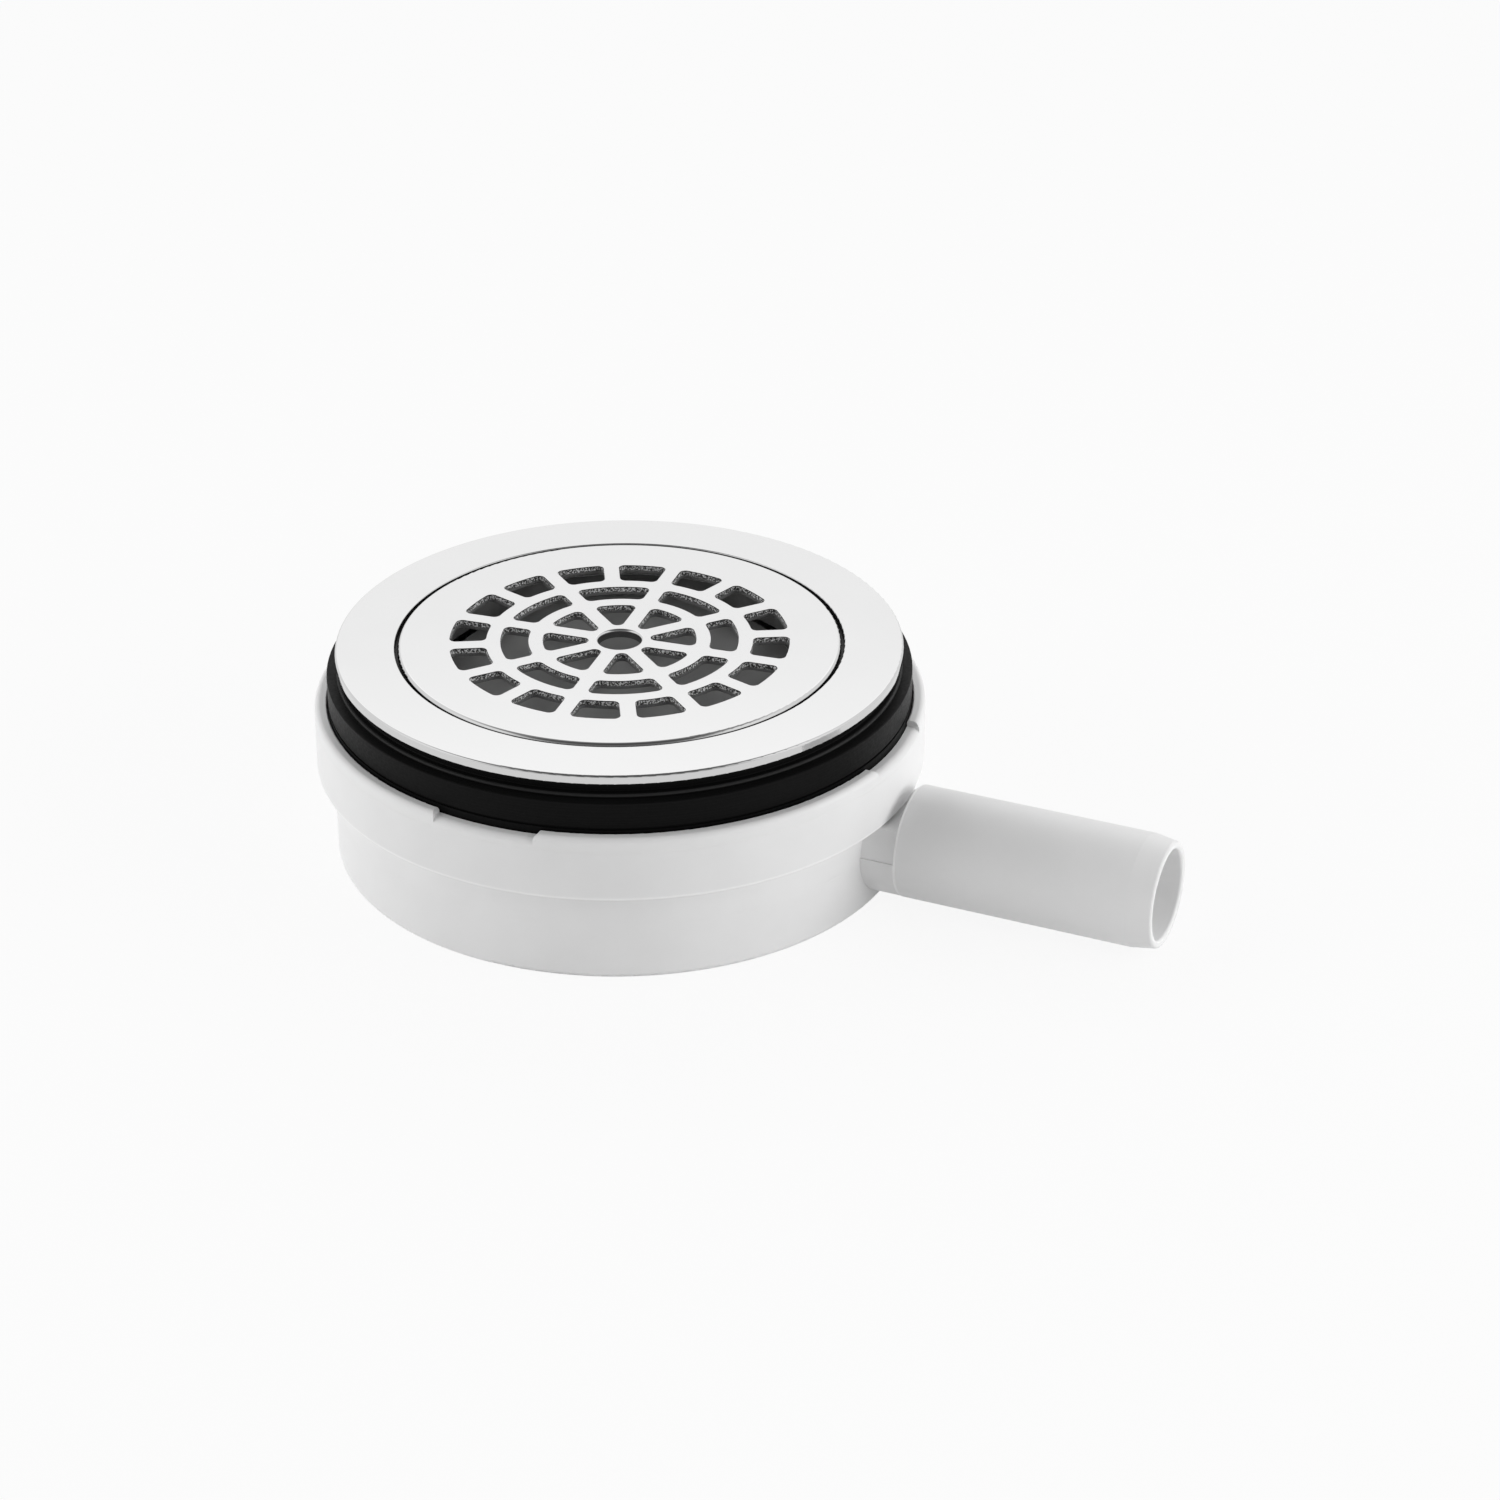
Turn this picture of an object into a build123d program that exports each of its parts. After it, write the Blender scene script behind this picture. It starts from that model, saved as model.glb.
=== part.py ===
"""Shower waste outlet for a tray: grate in a flange, two seals and a low body with a side spigot.

The origin is on the axis of the body, on the flat underside of the bowl. +Z is up and +X runs along
the spigot. All sizes are in millimetres.
"""
import os

from build123d import *

# Tray opening and the neck that passes through it
TRAY_HOLE_DIA = 90.0
TRAY_HOLE_CLEAR = 0.6
NECK_WALL = 2.5
NECK_ENGAGE = 12.0
NECK_FILLET = 0.4

# Flange
FLANGE_T = 1.8
FLANGE_LIP = 1.6
FLANGE_EDGE_ROUND = 0.45
FLANGE_FOOT_ROUND = 0.2
RECESS_WALL = 0.85
LEDGE_W = 2.1
LEDGE_ROUND = 0.25
RECESS_DEPTH = 1.5

# Grate plate and its pattern of holes, counted from the middle outwards
GRATE_T = 1.7
GRATE_GAP = 0.6
GRATE_ROUND = 0.8
GRATE_FOOT_ROUND = 0.3
CENTRE_HOLE_DIA = 8.4
CENTRE_HOLE_ROUND = 0.5
TRIANGLE_R = 14.9
ARC_ROW = 5.45
OUTER_ROW = 7.15
RING_W = 2.75
SPOKE_W = 3.0
HOLE_ROUND = 1.3
SPOKE_COUNT = 8
GRATE_TURN = 6.1

# Strainer dish that rests in the flange below the grate
DISH_DROP = 2.4
DISH_RIM_T = 1.2
DISH_SEAT_W = 2.0
DISH_SEAT_T = 2.0
DISH_DEPTH = 3.2
DISH_WALL = 1.5
DISH_CLEAR = 0.3
DISH_ROUND = 0.3
DISH_SLOT_W = 3.25
DISH_SLOT_COUNT = 12
DISH_WEB_W = 3.0
DISH_WEB_DROP = 0.7
DISH_SLOT_ROUND = 0.8

# Seals above and below the tray
SEAL_CLEAR = 0.6
FLANGE_SEAL_W = 8.4
FLANGE_SEAL_T = 2.9
FLANGE_SEAL_FOOT_W = 1.5
FLANGE_SEAL_FOOT_T = 0.7
FLANGE_SEAL_ROUND = 0.3
BODY_SEAL_W = 11.8
BODY_SEAL_H = 9.6
BODY_SEAL_ROUND = 0.2
SEAL_LIP_H = 0.5
SEAL_GROOVE_H = 0.5
SEAL_GROOVE_DEPTH = 0.4

# Clamp collar, the upper half of the body
COLLAR_WALL = 2.5
COLLAR_H = 12.9
SEAT_DEPTH = 3.5
SEAT_CLEAR = 0.2
WEB_T = 2.5
THREAD_CLEAR = 0.2
MOUTH_WALL = 2.6
MOUTH_DEPTH = 9.0
RIM_ROUND = 1.2
RIM_INNER_ROUND = 0.3
SKIRT_ROUND = 0.5
NOTCH_COUNT = 4
NOTCH_W = 20.5
NOTCH_DROP = 1.0
NOTCH_CROWN = 1.6
NOTCH_EDGE = 0.15
NOTCH_BEVEL = 0.5
NOTCH_ROUND = 0.8

# Waste bowl, the lower half of the body
DRUM_H = 18.6
STEP_W = 3.3
BOWL_WALL = 2.5
FLOOR_T = 2.6
WELD_GAP = 0.1
DRUM_ROUND = 1.0
SUMP_ROUND = 1.5

# Neck and spigot on the side of the bowl
SPIGOT_DIA = 22.0
PIPE_WALL = 2.2
SPIGOT_RUN = 46.35
SHOULDER_GAP = 2.5
SHOULDER_ROUND = 0.3
SHOULDER_WALL = 2.0
TAPER_RUN = 4.95
TIP_WALL = 1.45
TIP_ROUND = 0.46
BORE_SILL = 0.6
OUTLET_NECK_STEP = 0.6
OUTLET_FOOT_STEP = 0.35
OUTLET_FOOT_SINK = 0.3
OUTLET_NECK_GAP = 0.4
OUTLET_NECK_ROOF = 2.0

# Radii, from the tray hole outwards
neck_r = TRAY_HOLE_DIA / 2 - TRAY_HOLE_CLEAR
neck_bore_r = neck_r - NECK_WALL
recess_r = neck_r - RECESS_WALL
grate_r = recess_r - GRATE_GAP
ledge_r = recess_r - LEDGE_W
dish_seat_r = ledge_r - DISH_SEAT_W
mouth_r = neck_r + THREAD_CLEAR
boss_r = mouth_r + MOUTH_WALL
seal_bore_r = neck_r + SEAL_CLEAR
flange_seal_r = seal_bore_r + FLANGE_SEAL_W
flange_r = flange_seal_r + FLANGE_LIP
body_seal_r = seal_bore_r + BODY_SEAL_W
collar_bore_r = body_seal_r + SEAT_CLEAR
collar_r = collar_bore_r + COLLAR_WALL
band_r = collar_bore_r - WELD_GAP
band_bore_r = band_r - BOWL_WALL
drum_r = collar_r - STEP_W
drum_bore_r = drum_r - BOWL_WALL

# Heights, from the underside up
rim_z = DRUM_H + COLLAR_H
seat_z = rim_z - SEAT_DEPTH
web_z = seat_z - WEB_T
mouth_z = seat_z - MOUTH_DEPTH
neck_z = seat_z - NECK_ENGAGE
body_seal_z = seat_z + BODY_SEAL_H
flange_z = body_seal_z + FLANGE_SEAL_T
flange_top_z = flange_z + FLANGE_T
ledge_z = flange_top_z - RECESS_DEPTH
grate_top_z = ledge_z + GRATE_T
dish_rim_z = ledge_z - DISH_DROP
dish_seat_z = dish_rim_z - DISH_RIM_T
dish_floor_z = dish_rim_z - DISH_DEPTH

# Dish radii
dish_rim_r = ledge_r - DISH_CLEAR
dish_r = dish_seat_r - DISH_CLEAR
dish_bore_r = dish_r - DISH_WALL
dish_floor_r = dish_bore_r - DISH_SLOT_W

# Spigot places along +X and its axis height
spigot_r = SPIGOT_DIA / 2
bore_r = spigot_r - PIPE_WALL
outlet_neck_r = spigot_r - OUTLET_NECK_STEP
outlet_foot_r = spigot_r - OUTLET_FOOT_STEP
spigot_z = FLOOR_T + BORE_SILL + bore_r
outlet_neck_z = DRUM_H - OUTLET_NECK_GAP
passage_z = outlet_neck_z - OUTLET_NECK_ROOF
shoulder_x = collar_r + SHOULDER_GAP
taper_x = shoulder_x + SPIGOT_RUN
tip_x = taper_x + TAPER_RUN
tip_r = bore_r + TIP_WALL


def turned(*corners):
    """Solid turned about Z from outline corners (radius, height) or (radius, height, rounding)."""
    points = [corner[:2] for corner in corners]
    rounds = [corner[2] if len(corner) == 3 else 0 for corner in corners]
    outline = FilletPolyline(*points, radius=rounds, close=True)
    return revolve(Plane.XZ * make_face(outline), Axis.Z)


def cell(inner_r, outer_r, count, web_w, rounding):
    """Rounded opening between two circles and two parallel-sided spokes, centred on +X."""
    half_angle = 180 / count
    apex_x = web_w / 2 / sin_deg(half_angle)
    far = Vector(2 * outer_r, 0).rotate(Axis.Z, half_angle)
    wedge = Polyline((apex_x, 0), (apex_x + far.X, -far.Y), (apex_x + far.X, far.Y), close=True)
    opening = make_face(wedge) & Circle(outer_r)
    if inner_r > apex_x:
        opening -= Circle(inner_r)
    return fillet(opening.vertices(), rounding)


def sin_deg(angle):
    """Sine of an angle in degrees."""
    return Vector(1, 0).rotate(Axis.Z, angle).Y


def around(shape, count, start=0.0):
    """Copies of a shape evenly turned about Z."""
    return [place * shape for place in PolarLocations(0, count, start)]


def flat_topped(radius, centre_z, top_z):
    """Section across the outlet neck: a circle at a height, cut off level at the top."""
    below = Rectangle(2 * radius, top_z, align=(Align.CENTER, Align.MIN))
    return below & Pos(0, centre_z) * Circle(radius)


def along_x(section, start_x, end_x):
    """Prism of a section drawn across the spigot."""
    return extrude(Plane.YZ.offset(start_x) * section, end_x - start_x)


def waste_bowl():
    """Lower half of the body: a cup with a stepped-out welding band, the outlet neck and the spigot."""
    cup = turned(
        (0, 0),
        (drum_r, 0, DRUM_ROUND),
        (drum_r, DRUM_H),
        (band_r, DRUM_H),
        (band_r, web_z),
        (band_bore_r, web_z),
        (band_bore_r, DRUM_H + BOWL_WALL),
        (drum_bore_r, DRUM_H + BOWL_WALL / 2),
        (drum_bore_r, FLOOR_T, SUMP_ROUND),
        (0, FLOOR_T),
    )
    neck_roof = flat_topped(outlet_neck_r, spigot_z, outlet_neck_z)
    neck_foot = flat_topped(outlet_foot_r, spigot_z - OUTLET_FOOT_SINK, spigot_z)
    neck = along_x(neck_roof + neck_foot, drum_r - BOWL_WALL / 2, shoulder_x + SHOULDER_WALL)
    pipe = turned(
        (0, shoulder_x),
        (spigot_r, shoulder_x, SHOULDER_ROUND),
        (spigot_r, taper_x),
        (tip_r, tip_x, TIP_ROUND * TIP_WALL),
        (bore_r, tip_x, TIP_ROUND * TIP_WALL),
        (bore_r, shoulder_x + SHOULDER_WALL),
        (0, shoulder_x + SHOULDER_WALL),
    )
    spigot_axis = Plane(origin=(0, 0, spigot_z), x_dir=(0, 1, 0), z_dir=(1, 0, 0))
    passage_section = flat_topped(bore_r, spigot_z, passage_z)
    passage = along_x(passage_section, drum_bore_r - BOWL_WALL, shoulder_x + SHOULDER_WALL)
    return cup + neck + spigot_axis * pipe - passage


def clamp_collar():
    """Upper half of the body: skirt, rim with weld-drive notches, seal seat and threaded mouth."""
    ring = turned(
        (collar_bore_r, DRUM_H),
        (collar_r, DRUM_H, SKIRT_ROUND),
        (collar_r, rim_z, RIM_ROUND),
        (collar_bore_r, rim_z, RIM_INNER_ROUND),
        (collar_bore_r, seat_z),
        (mouth_r, seat_z),
        (mouth_r, mouth_z),
        (boss_r, mouth_z),
        (boss_r, web_z),
        (collar_bore_r, web_z),
    )
    return ring - around(notch(), NOTCH_COUNT)


def notch():
    """Cut of one rim notch: a floor that curves down into the wall, between two ends with eased corners."""
    floor_z = rim_z - NOTCH_DROP
    below_z = floor_z - 2 * NOTCH_CROWN
    above_z = rim_z + NOTCH_CROWN
    edge_r = collar_r + NOTCH_EDGE
    past_r = edge_r + COLLAR_WALL
    space = turned(
        (seal_bore_r, floor_z),
        (edge_r, floor_z, NOTCH_CROWN),
        (edge_r, below_z),
        (past_r, below_z),
        (past_r, above_z),
        (seal_bore_r, above_z),
    )
    half = NOTCH_W / 2
    ease_z = rim_z - NOTCH_BEVEL
    flare = half + NOTCH_BEVEL + NOTCH_CROWN
    outline = FilletPolyline(
        (-half, below_z),
        (half, below_z),
        (half, ease_z),
        (flare, above_z),
        (-flare, above_z),
        (-half, ease_z),
        radius=[0, 0, NOTCH_ROUND, 0, 0, NOTCH_ROUND],
        close=True,
    )
    return space & along_x(make_face(outline), seal_bore_r, past_r)


def body_seal():
    """Thick rubber ring that stands on the collar's seat and presses on the tray's underside."""
    lip_z = rim_z + SEAL_LIP_H
    groove_r = body_seal_r - SEAL_GROOVE_DEPTH
    return turned(
        (seal_bore_r, seat_z),
        (body_seal_r, seat_z),
        (body_seal_r, lip_z),
        (groove_r, lip_z),
        (groove_r, lip_z + SEAL_GROOVE_H),
        (body_seal_r, lip_z + SEAL_GROOVE_H),
        (body_seal_r, body_seal_z, BODY_SEAL_ROUND),
        (seal_bore_r, body_seal_z),
    )


def flange_seal():
    """Rubber washer between the flange and the top of the tray, with a thin foot round it."""
    foot_r = flange_seal_r + FLANGE_SEAL_FOOT_W
    foot_z = body_seal_z + FLANGE_SEAL_FOOT_T
    return turned(
        (seal_bore_r, body_seal_z),
        (foot_r, body_seal_z),
        (foot_r, foot_z, FLANGE_SEAL_ROUND),
        (flange_seal_r, foot_z, FLANGE_SEAL_ROUND),
        (flange_seal_r, flange_z),
        (seal_bore_r, flange_z),
    )


def flange():
    """Polished ring with a recess for the grate, a seat for the dish and a neck for the collar."""
    return turned(
        (neck_bore_r, neck_z),
        (neck_r, neck_z),
        (neck_r, flange_z, NECK_FILLET),
        (flange_r, flange_z, FLANGE_FOOT_ROUND),
        (flange_r, flange_top_z, FLANGE_EDGE_ROUND),
        (recess_r, flange_top_z, LEDGE_ROUND),
        (recess_r, ledge_z),
        (ledge_r, ledge_z, LEDGE_ROUND),
        (ledge_r, dish_seat_z),
        (dish_seat_r, dish_seat_z),
        (dish_seat_r, dish_seat_z - DISH_SEAT_T),
        (neck_bore_r, dish_seat_z - DISH_SEAT_T),
    )


def grate():
    """Flat pierced plate that lies in the flange, with three rows of openings round an eased centre hole."""
    centre_r = CENTRE_HOLE_DIA / 2
    plate = turned(
        (centre_r, ledge_z),
        (grate_r, ledge_z, GRATE_FOOT_ROUND),
        (grate_r, grate_top_z, GRATE_ROUND),
        (centre_r, grate_top_z, CENTRE_HOLE_ROUND),
    )
    arc_inner_r = TRIANGLE_R + RING_W
    outer_inner_r = arc_inner_r + ARC_ROW + RING_W
    rows = (
        (0, TRIANGLE_R, SPOKE_COUNT),
        (arc_inner_r, arc_inner_r + ARC_ROW, SPOKE_COUNT),
        (outer_inner_r, outer_inner_r + OUTER_ROW, 2 * SPOKE_COUNT),
    )
    openings = []
    for inner_r, outer_r, count in rows:
        opening = cell(inner_r, outer_r, count, SPOKE_W, HOLE_ROUND)
        openings += around(opening, count, GRATE_TURN + 180 / count)
    return plate - [extrude(Pos(0, 0, ledge_z) * opening, GRATE_T) for opening in openings]


def strainer_dish():
    """Shallow dish hung by its rim in the flange, with a raised floor inside a ring of slots."""
    dish = turned(
        (0, dish_floor_z - DISH_WALL),
        (dish_r, dish_floor_z - DISH_WALL, DISH_ROUND),
        (dish_r, dish_seat_z),
        (dish_rim_r, dish_seat_z),
        (dish_rim_r, dish_rim_z, DISH_ROUND),
        (dish_bore_r, dish_rim_z, DISH_ROUND),
        (dish_bore_r, dish_floor_z - DISH_WEB_DROP),
        (dish_floor_r, dish_floor_z - DISH_WEB_DROP),
        (dish_floor_r, dish_floor_z, DISH_ROUND),
        (0, dish_floor_z),
    )
    slot = cell(dish_floor_r, dish_bore_r, DISH_SLOT_COUNT, DISH_WEB_W, DISH_SLOT_ROUND)
    cut = extrude(Pos(0, 0, dish_floor_z - DISH_WALL) * slot, DISH_WALL)
    return dish - around(cut, DISH_SLOT_COUNT)


NODES = (waste_bowl, clamp_collar, body_seal, flange_seal, flange, grate, strainer_dish)

os.makedirs("parts", exist_ok=True)
for node in NODES:
    export_step(node(), f"parts/{node.__name__}.step")
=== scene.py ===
"""Looks of the shower waste outlet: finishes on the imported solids, a pale studio and the photo's camera."""
import math

import bpy
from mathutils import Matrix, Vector

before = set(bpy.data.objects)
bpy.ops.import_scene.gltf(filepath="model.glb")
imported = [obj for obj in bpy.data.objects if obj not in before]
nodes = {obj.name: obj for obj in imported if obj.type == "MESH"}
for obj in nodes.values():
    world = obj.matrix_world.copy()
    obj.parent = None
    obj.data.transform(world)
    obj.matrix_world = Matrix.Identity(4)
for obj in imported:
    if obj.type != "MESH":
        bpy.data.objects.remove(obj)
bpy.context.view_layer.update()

# Camera, in metres and degrees
VIEW_AZIMUTH = 23.92
VIEW_ELEVATION = 28.36
CAMERA_DISTANCE = 0.7825
CAMERA_LENS = 95.73
SENSOR_WIDTH = 36.0
AIM = Vector((0.0, 0.0, 0.0216))
AIM_RIGHT = 0.02525
AIM_UP = -0.00309

# White body: height of the spigot's axis, half width and heights of the mould lines
PIPE_HEIGHT = 0.012
SEAM_HALF = 0.0003
COLLAR_SEAM = 0.0287
DRUM_SEAM = 0.0112

# Turned edges of the polished pieces: height where each rounding starts, and its radius
FLANGE_EDGE = (0.04185, 0.00045)
RECESS_EDGE = (0.04205, 0.00025)
GRATE_EDGE = (0.0417, 0.0008)
CENTRE_EDGE = (0.0420, 0.0005)

# Finishes: brightness of the base colours, painted highlights and painted shade among them, and how rough the
# polish is
WHITE = (0.83, 0.87)
# Painted highlight and painted light on the white plastic: the collar's lower edge, the spigot's shoulder and
# the inside of its bore
PAINTED_LIGHT_WHITE = 0.97
BLACK = (0.0015, 0.004)
# Painted highlight on the flange seal's foot lip
FOOT_LIP_HIGHLIGHT = 0.03
STEEL = 0.62
# Painted shade: darker steel in the gap round the grate, on the flange and on the grate's rim
GAP_SHADE_STEEL = 0.08
# Painted shade on the centre hole's wall
CENTRE_SHADE_STEEL = 0.35
POLISH = (0.05, 0.10)
GREY = (0.27, 0.31)
# Painted highlight on the grey dish's edges
GREY_EDGE_HIGHLIGHT = 0.9

# Studio: brightness of the tent and the lamps, in metres and degrees where they have a place
FLOOR_HALF = 4.0
FLOOR_COLOUR = (0.86, 0.86, 0.86, 1.0)
FLOOR_WHITE_SHARE = 0.9
BACK_LOW = 1.28
BACK_HIGH = 1.48
BACK_WALL = 1.0
SIDES = 1.12
FRONT = 0.62
CEILING = 0.3
OPENING = 0.25
OPENING_ELEVATION = 56.0
LEFT_TURN = 80.0
RIGHT_TURN = 70.0
LAMP_ELEVATION = 15.0
LEFT_LEVEL = 1.8
RIGHT_LEVEL = 2.5
LAMP_DISTANCE = 1.1
LAMP_SIZE = 0.8


def direction(azimuth, elevation):
    """Unit vector from the object towards a place round it, as the frame counts angles."""
    turn, rise = math.radians(azimuth), math.radians(elevation)
    return Vector((math.sin(turn) * math.cos(rise), -math.cos(turn) * math.cos(rise), math.sin(rise)))


def add(tree, kind, values=None, **settings):
    """New shader node with its settings, and with values or links on its inputs."""
    made = tree.nodes.new(kind)
    for name, value in settings.items():
        setattr(made, name, value)
    for key, value in (values or {}).items():
        if isinstance(value, bpy.types.NodeSocket):
            tree.links.new(value, made.inputs[key])
        else:
            made.inputs[key].default_value = value
    return made


def scalar(tree, operation, first, second=0.0, third=0.0):
    """Result of one scalar operation."""
    return add(tree, "ShaderNodeMath", {0: first, 1: second, 2: third}, operation=operation).outputs[0]


def ramp(tree, value, low, high, start=0.0, end=1.0):
    """A value taken smoothly from one range to another."""
    made = add(
        tree,
        "ShaderNodeMapRange",
        {"Value": value, "From Min": low, "From Max": high, "To Min": start, "To Max": end},
        interpolation_type="SMOOTHSTEP",
    )
    return made.outputs["Result"]


def along(tree, vector, axis):
    """How far a vector reaches along a fixed direction."""
    made = add(tree, "ShaderNodeVectorMath", {0: vector, 1: axis}, operation="DOT_PRODUCT")
    return made.outputs["Value"]


def new_material(name):
    """Empty node material with its principled shader."""
    material = bpy.data.materials.new(name)
    material.use_nodes = True
    return material, material.node_tree, material.node_tree.nodes["Principled BSDF"]


def set_inputs(tree, shader, values):
    """Values or links on the inputs of an existing node."""
    for key, value in values.items():
        if isinstance(value, bpy.types.NodeSocket):
            tree.links.new(value, shader.inputs[key])
        else:
            shader.inputs[key].default_value = value


def place(tree):
    """Position on the object and its X, Y and Z, in metres."""
    position = add(tree, "ShaderNodeTexCoord").outputs["Object"]
    parts = add(tree, "ShaderNodeSeparateXYZ", {0: position})
    return position, parts.outputs[0], parts.outputs[1], parts.outputs[2]


def noise(tree, position, scale, detail=3.0):
    """Fine cloudy value from 0 to 1."""
    made = add(tree, "ShaderNodeTexNoise", {"Vector": position, "Scale": scale, "Detail": detail})
    return made.outputs["Fac"]


def bump(tree, height, distance, strength=1.0, normal=None):
    """Normal bent by a height, which the distance turns into metres."""
    values = {"Height": height, "Distance": distance, "Strength": strength}
    if normal is not None:
        values["Normal"] = normal
    return add(tree, "ShaderNodeBump", values).outputs["Normal"]


def grey(tree, value):
    """Neutral colour of a brightness."""
    return add(tree, "ShaderNodeCombineColor", {0: value, 1: value, 2: value}).outputs[0]


def from_axis(tree, first, second):
    """Distance from an axis, given the two distances square to it."""
    square = scalar(tree, "MULTIPLY", second, second)
    return scalar(tree, "SQRT", scalar(tree, "MULTIPLY_ADD", first, first, square))


def mesh_normal(tree):
    """Normal of the solid itself."""
    return add(tree, "ShaderNodeNewGeometry").outputs["Normal"]


def upward(tree):
    """One on level faces and zero on upright ones."""
    return scalar(tree, "ABSOLUTE", add(tree, "ShaderNodeSeparateXYZ", {0: mesh_normal(tree)}).outputs[2])


def blend(tree, share, first, second):
    """A value between two others."""
    return add(tree, "ShaderNodeMix", {0: share, 2: first, 3: second}).outputs[0]


def seam(tree, height, level):
    """One along a level mould line, fading out beside it."""
    aside = scalar(tree, "ABSOLUTE", scalar(tree, "SUBTRACT", height, level))
    return ramp(tree, aside, SEAM_HALF, SEAM_HALF / 4)


def white_plastic():
    """Satin moulded plastic with faint mould lines, painted highlights along the collar's lower edge and the
    spigot's shoulder, and painted light inside the spigot's bore.
    """
    material, tree, shader = new_material("white_plastic")
    position, east, north, height = place(tree)
    radius = from_axis(tree, east, north)
    cloud = noise(tree, position, 60.0)
    grain = noise(tree, position, 2500.0)
    on_collar = scalar(tree, "MULTIPLY", seam(tree, height, COLLAR_SEAM), ramp(tree, radius, 0.0585, 0.059))
    on_drum = scalar(tree, "MULTIPLY", seam(tree, height, DRUM_SEAM), ramp(tree, radius, 0.058, 0.057))
    broken = scalar(tree, "MULTIPLY", on_drum, ramp(tree, noise(tree, position, 90.0), 0.45, 0.6))
    lines = scalar(tree, "SUBTRACT", on_collar, broken)
    # Painted highlight: a band along the collar's lower edge, lightened towards white.
    outer = scalar(tree, "MULTIPLY", ramp(tree, radius, 0.0585, 0.0591), ramp(tree, radius, 0.0600, 0.0597))
    low = scalar(tree, "MULTIPLY", ramp(tree, height, 0.0182, 0.0186), ramp(tree, height, 0.0194, 0.0190))
    hem_highlight = scalar(tree, "MULTIPLY", low, outer)
    # Painted light: the inside of the spigot's bore near its open end, lightened towards white.
    from_pipe = from_axis(tree, north, scalar(tree, "SUBTRACT", height, PIPE_HEIGHT))
    bore_painted_light = scalar(tree, "MULTIPLY", ramp(tree, from_pipe, 0.0093, 0.0090), ramp(tree, east, 0.066, 0.070))
    # Painted highlight: a thin ring at the spigot's shoulder, lightened towards white.
    step = scalar(tree, "MULTIPLY", ramp(tree, east, 0.0617, 0.0620), ramp(tree, east, 0.0626, 0.0623))
    shoulder_highlight = scalar(tree, "MULTIPLY", step, ramp(tree, from_pipe, 0.0103, 0.0107))
    painted_light = scalar(tree, "MAXIMUM", bore_painted_light, scalar(tree, "MAXIMUM", hem_highlight, shoulder_highlight))
    tone = blend(tree, painted_light, ramp(tree, cloud, 0.2, 0.8, *WHITE), PAINTED_LIGHT_WHITE)
    set_inputs(tree, shader, {
        "Base Color": grey(tree, tone),
        "Roughness": ramp(tree, cloud, 0.2, 0.8, 0.36, 0.44),
        "Normal": bump(tree, grain, 0.00002, 0.4, bump(tree, lines, 0.00003)),
        "IOR": 1.5,
    })
    return material


def black_rubber():
    """Satin black rubber with fine turned lines and a painted highlight along the flange seal's foot lip."""
    material, tree, shader = new_material("black_rubber")
    position, east, north, height = place(tree)
    radius = from_axis(tree, east, north)
    lines = add(
        tree, "ShaderNodeTexNoise", {"W": height, "Scale": 5000.0, "Detail": 2.0}, noise_dimensions="1D"
    ).outputs["Fac"]
    grain = noise(tree, position, 1800.0)
    # Painted highlight: the top of the flange seal's foot lip is lightened.
    foot_lip_highlight = scalar(tree, "MULTIPLY", ramp(tree, height, 0.0378, 0.0381), ramp(tree, radius, 0.0542, 0.0546))
    tone = blend(tree, foot_lip_highlight, ramp(tree, lines, 0.3, 0.8, *BLACK), FOOT_LIP_HIGHLIGHT)
    set_inputs(tree, shader, {
        "Base Color": grey(tree, tone),
        "Roughness": ramp(tree, grain, 0.2, 0.8, 0.42, 0.58),
        "Specular IOR Level": 0.08,
        "Sheen Weight": 0.08,
        "Sheen Roughness": 0.3,
        "Normal": bump(tree, grain, 0.00002, 0.3, bump(tree, lines, 0.00004, 0.5)),
        "IOR": 1.5,
    })
    return material


def turned_normal(tree, where, edge, side):
    """Smooth normal of a rounded edge on the turned top; side is 1 for an outer edge, -1 for an inner one."""
    _, east, north, height = where
    start, size = edge
    rate = 1.005 / size
    values = {0: height, 1: rate, 2: -start * rate}
    up = add(tree, "ShaderNodeMath", values, operation="MULTIPLY_ADD", use_clamp=True).outputs[0]
    level = scalar(tree, "SQRT", scalar(tree, "SUBTRACT", 1.0, scalar(tree, "MULTIPLY", up, up)))
    out = scalar(tree, "DIVIDE", scalar(tree, "MULTIPLY", level, side), from_axis(tree, east, north))
    out_east = scalar(tree, "MULTIPLY", out, east)
    out_north = scalar(tree, "MULTIPLY", out, north)
    return add(tree, "ShaderNodeCombineXYZ", {0: out_east, 1: out_north, 2: up}).outputs[0]


def blend_normal(tree, share, first, second):
    """A normal between two others."""
    return add(tree, "ShaderNodeMix", {0: share, 4: first, 5: second}, data_type="VECTOR").outputs[1]


def turned_top(tree, where, inner, outer, border, share):
    """Normals of a turned top with an inner and an outer edge, used where the share is one."""
    _, east, north, _ = where
    past = scalar(tree, "GREATER_THAN", from_axis(tree, east, north), border)
    facing_in = turned_normal(tree, where, inner, -1.0)
    facing_out = turned_normal(tree, where, outer, 1.0)
    return blend_normal(tree, share, mesh_normal(tree), blend_normal(tree, past, facing_in, facing_out))


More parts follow.
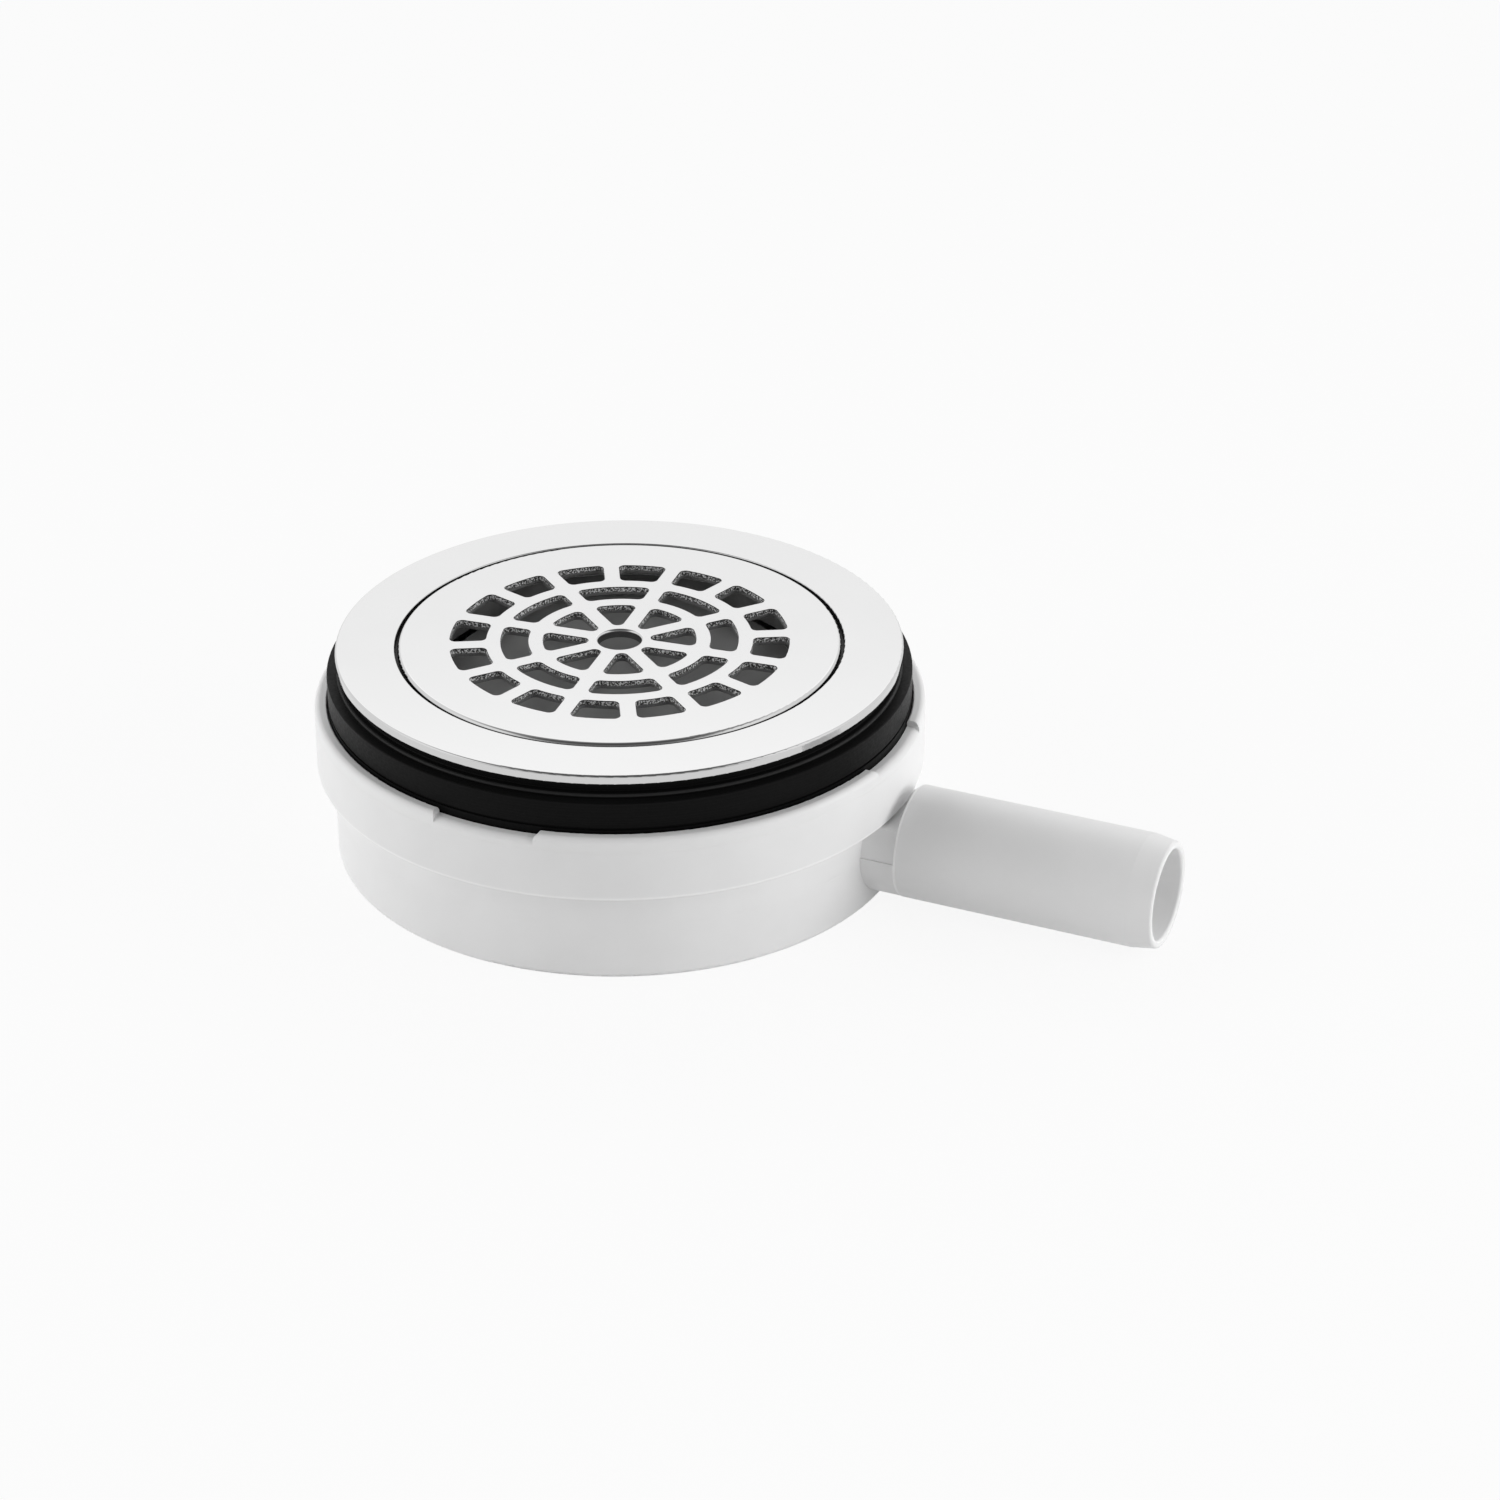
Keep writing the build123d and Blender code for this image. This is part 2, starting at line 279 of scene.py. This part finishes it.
def polished_steel():
    """Mirror polish, painted dark as shade and rougher in the gap round the grate."""
    material, tree, shader = new_material("polished_steel")
    where = place(tree)
    position, east, north, height = where
    cloud = noise(tree, position, 90.0)
    radius = from_axis(tree, east, north)
    on_top = scalar(tree, "GREATER_THAN", height, 0.0417)
    # Painted shade: the gap round the grate is darkened and made rougher.
    ring = scalar(tree, "MULTIPLY", ramp(tree, radius, 0.0421, 0.0424), ramp(tree, radius, 0.0440, 0.0438))
    gap_shade = scalar(tree, "MULTIPLY", ring, ramp(tree, height, 0.04205, 0.04175))
    polish = ramp(tree, cloud, 0.2, 0.8, *POLISH)
    set_inputs(tree, shader, {
        "Base Color": grey(tree, blend(tree, gap_shade, STEEL, GAP_SHADE_STEEL)),
        "Metallic": 1.0,
        "Roughness": blend(tree, gap_shade, polish, 0.55),
        "Normal": turned_top(tree, where, RECESS_EDGE, FLANGE_EDGE, 0.05, on_top),
    })
    return material


def polished_grate():
    """Mirror polish, with speckled hole walls painted with shade along their top and lower part, and upright
    edges painted dark as shade and rougher: the grate's rim and the centre hole's wall.
    """
    material, tree, shader = new_material("polished_grate")
    where = place(tree)
    position, east, north, height = where
    radius = from_axis(tree, east, north)
    edges = scalar(tree, "MAXIMUM", ramp(tree, radius, 0.0405, 0.041), ramp(tree, radius, 0.0061, 0.0057))
    on_top = scalar(tree, "MULTIPLY", scalar(tree, "GREATER_THAN", height, 0.0416), edges)
    turned = turned_top(tree, where, CENTRE_EDGE, GRATE_EDGE, 0.02, on_top)
    wall = ramp(tree, upward(tree), 0.5, 0.2)
    holes = scalar(tree, "MULTIPLY", ramp(tree, radius, 0.0048, 0.0052), ramp(tree, radius, 0.036, 0.035))
    rough = scalar(tree, "MULTIPLY", wall, holes)
    # Painted shade: the grate's upright rim in the gap and the centre hole's wall are darkened.
    rim_shade = scalar(tree, "MULTIPLY", wall, ramp(tree, radius, 0.0426, 0.0429))
    centre_shade = scalar(tree, "MULTIPLY", wall, ramp(tree, radius, 0.0052, 0.0048))
    dull = scalar(tree, "MAXIMUM", rim_shade, centre_shade)
    polished = blend(tree, rim_shade, blend(tree, centre_shade, STEEL, CENTRE_SHADE_STEEL), GAP_SHADE_STEEL)
    grain = noise(tree, position, 3000.0, 4.0)
    speck = ramp(tree, grain, 0.46, 0.60, 0.06, 1.0)
    # Painted shade: a dark line along the top of each hole wall and a duller grey on its lower part; the
    # specks between are the wall's grain.
    specks_with_dark_top = blend(tree, ramp(tree, height, 0.0422, 0.0424), speck, 0.03)
    specks_with_shaded_foot = blend(tree, ramp(tree, height, 0.0413, 0.0416), 0.2, specks_with_dark_top)
    cloud = noise(tree, position, 90.0)
    polish = ramp(tree, cloud, 0.2, 0.8, *POLISH)
    set_inputs(tree, shader, {
        "Base Color": grey(tree, blend(tree, rough, polished, specks_with_shaded_foot)),
        "Metallic": blend(tree, rough, 1.0, 0.3),
        "Roughness": blend(tree, rough, blend(tree, dull, polish, 0.25), 0.5),
        "Normal": bump(tree, scalar(tree, "MULTIPLY", grain, rough), 0.0002, 1.0, turned),
    })
    return material


def grey_plastic():
    """Satin grey plastic with edges painted pale as highlights, and glossier."""
    material, tree, shader = new_material("grey_plastic")
    position, _, _, _ = place(tree)
    cloud = noise(tree, position, 120.0)
    grain = noise(tree, position, 3000.0)
    slope = upward(tree)
    # Painted highlight: the rounded edges, neither level nor upright, are lightened.
    edge = scalar(tree, "MULTIPLY", ramp(tree, slope, 0.97, 0.90), ramp(tree, slope, 0.15, 0.40))
    set_inputs(tree, shader, {
        "Base Color": grey(tree, blend(tree, edge, ramp(tree, cloud, 0.2, 0.8, *GREY), GREY_EDGE_HIGHLIGHT)),
        "Roughness": blend(tree, edge, 0.55, 0.16),
        "Normal": bump(tree, grain, 0.00002, 0.3),
    })
    return material


def finish_nodes():
    """Finish of every solid."""
    white, rubber, steel = white_plastic(), black_rubber(), polished_steel()
    finishes = {
        "waste_bowl": white,
        "clamp_collar": white,
        "body_seal": rubber,
        "flange_seal": rubber,
        "flange": steel,
        "grate": polished_grate(),
        "strainer_dish": grey_plastic(),
    }
    for name, material in finishes.items():
        mesh = nodes[name].data
        mesh.materials.clear()
        mesh.materials.append(material)


def seen_directly(tree):
    """One where a ray is seen straight, in polished metal or through something clear."""
    path = add(tree, "ShaderNodeLightPath").outputs
    seen = scalar(tree, "MAXIMUM", path["Is Camera Ray"], path["Is Glossy Ray"])
    return scalar(tree, "MAXIMUM", seen, path["Is Transmission Ray"])


def make_floor():
    """Plain pale floor, near white to the eye and still holding the object's shadow."""
    corners = [(x * FLOOR_HALF, y * FLOOR_HALF, 0.0) for x, y in ((-1, -1), (1, -1), (1, 1), (-1, 1))]
    mesh = bpy.data.meshes.new("floor")
    mesh.from_pydata(corners, [], [(0, 1, 2, 3)])
    floor = bpy.data.objects.new("floor", mesh)
    bpy.context.scene.collection.objects.link(floor)
    material, tree, shader = new_material("floor")
    set_inputs(tree, shader, {"Base Color": FLOOR_COLOUR, "Roughness": 0.9})
    white = add(tree, "ShaderNodeEmission", {"Strength": 1.0})
    share = scalar(tree, "MULTIPLY", seen_directly(tree), FLOOR_WHITE_SHARE)
    mixed = add(tree, "ShaderNodeMixShader", {0: share, 1: shader.outputs[0], 2: white.outputs[0]})
    tree.links.new(mixed.outputs[0], tree.nodes["Material Output"].inputs["Surface"])
    mesh.materials.append(material)


def make_world():
    """Pale light tent with bright walls, a screen behind, a dark top and a dim opening above the camera."""
    world = bpy.data.worlds.new("studio")
    bpy.context.scene.world = world
    world.use_nodes = True
    tree = world.node_tree
    ray = add(tree, "ShaderNodeTexCoord").outputs["Generated"]
    rise = add(tree, "ShaderNodeSeparateXYZ", {0: ray}).outputs[2]
    front = along(tree, ray, direction(VIEW_AZIMUTH, 0.0))
    mirrored = along(tree, ray, direction(VIEW_AZIMUTH + 180.0, VIEW_ELEVATION))
    screen = ramp(tree, rise, 0.44, 0.50, BACK_LOW, BACK_HIGH)
    back = blend(tree, ramp(tree, mirrored, 0.88, 0.95), BACK_WALL, screen)
    sides = blend(tree, ramp(tree, front, -0.35, 0.1), back, SIDES)
    walls = blend(tree, ramp(tree, front, 0.3, 0.8), sides, FRONT)
    top = ramp(tree, rise, 0.72, 0.90, 1.0, CEILING)
    above = along(tree, ray, direction(VIEW_AZIMUTH, OPENING_ELEVATION))
    opening = ramp(tree, above, 0.70, 0.86, 1.0, OPENING)
    level = scalar(tree, "MULTIPLY", scalar(tree, "MULTIPLY", walls, top), opening)
    set_inputs(tree, tree.nodes["Background"], {"Color": grey(tree, level), "Strength": 1.0})


def make_lamp(name, azimuth, elevation, radiance):
    """Square soft box that faces the object."""
    lamp = bpy.data.lights.new(name, "AREA")
    lamp.size = LAMP_SIZE
    lamp.energy = radiance * math.pi * LAMP_SIZE ** 2
    place_at = bpy.data.objects.new(name, lamp)
    bpy.context.scene.collection.objects.link(place_at)
    place_at.visible_glossy = False
    towards = direction(azimuth, elevation)
    place_at.location = AIM + towards * LAMP_DISTANCE
    place_at.rotation_euler = towards.to_track_quat("Z", "Y").to_euler()


def make_camera():
    """Camera at the photo's angle and framing."""
    back = direction(VIEW_AZIMUTH, VIEW_ELEVATION)
    turn = math.radians(VIEW_AZIMUTH)
    right = Vector((math.cos(turn), math.sin(turn), 0.0))
    up = back.cross(right)
    data = bpy.data.cameras.new("camera")
    data.lens = CAMERA_LENS
    data.sensor_width = SENSOR_WIDTH
    camera = bpy.data.objects.new("camera", data)
    camera.location = AIM + back * CAMERA_DISTANCE + right * AIM_RIGHT + up * AIM_UP
    camera.rotation_euler = back.to_track_quat("Z", "Y").to_euler()
    bpy.context.scene.collection.objects.link(camera)
    bpy.context.scene.camera = camera


finish_nodes()
make_floor()
make_world()
make_lamp("left_box", VIEW_AZIMUTH - LEFT_TURN, LAMP_ELEVATION, LEFT_LEVEL)
make_lamp("right_box", VIEW_AZIMUTH + RIGHT_TURN, LAMP_ELEVATION, RIGHT_LEVEL)
make_camera()
bpy.context.scene.view_settings.view_transform = "Standard"
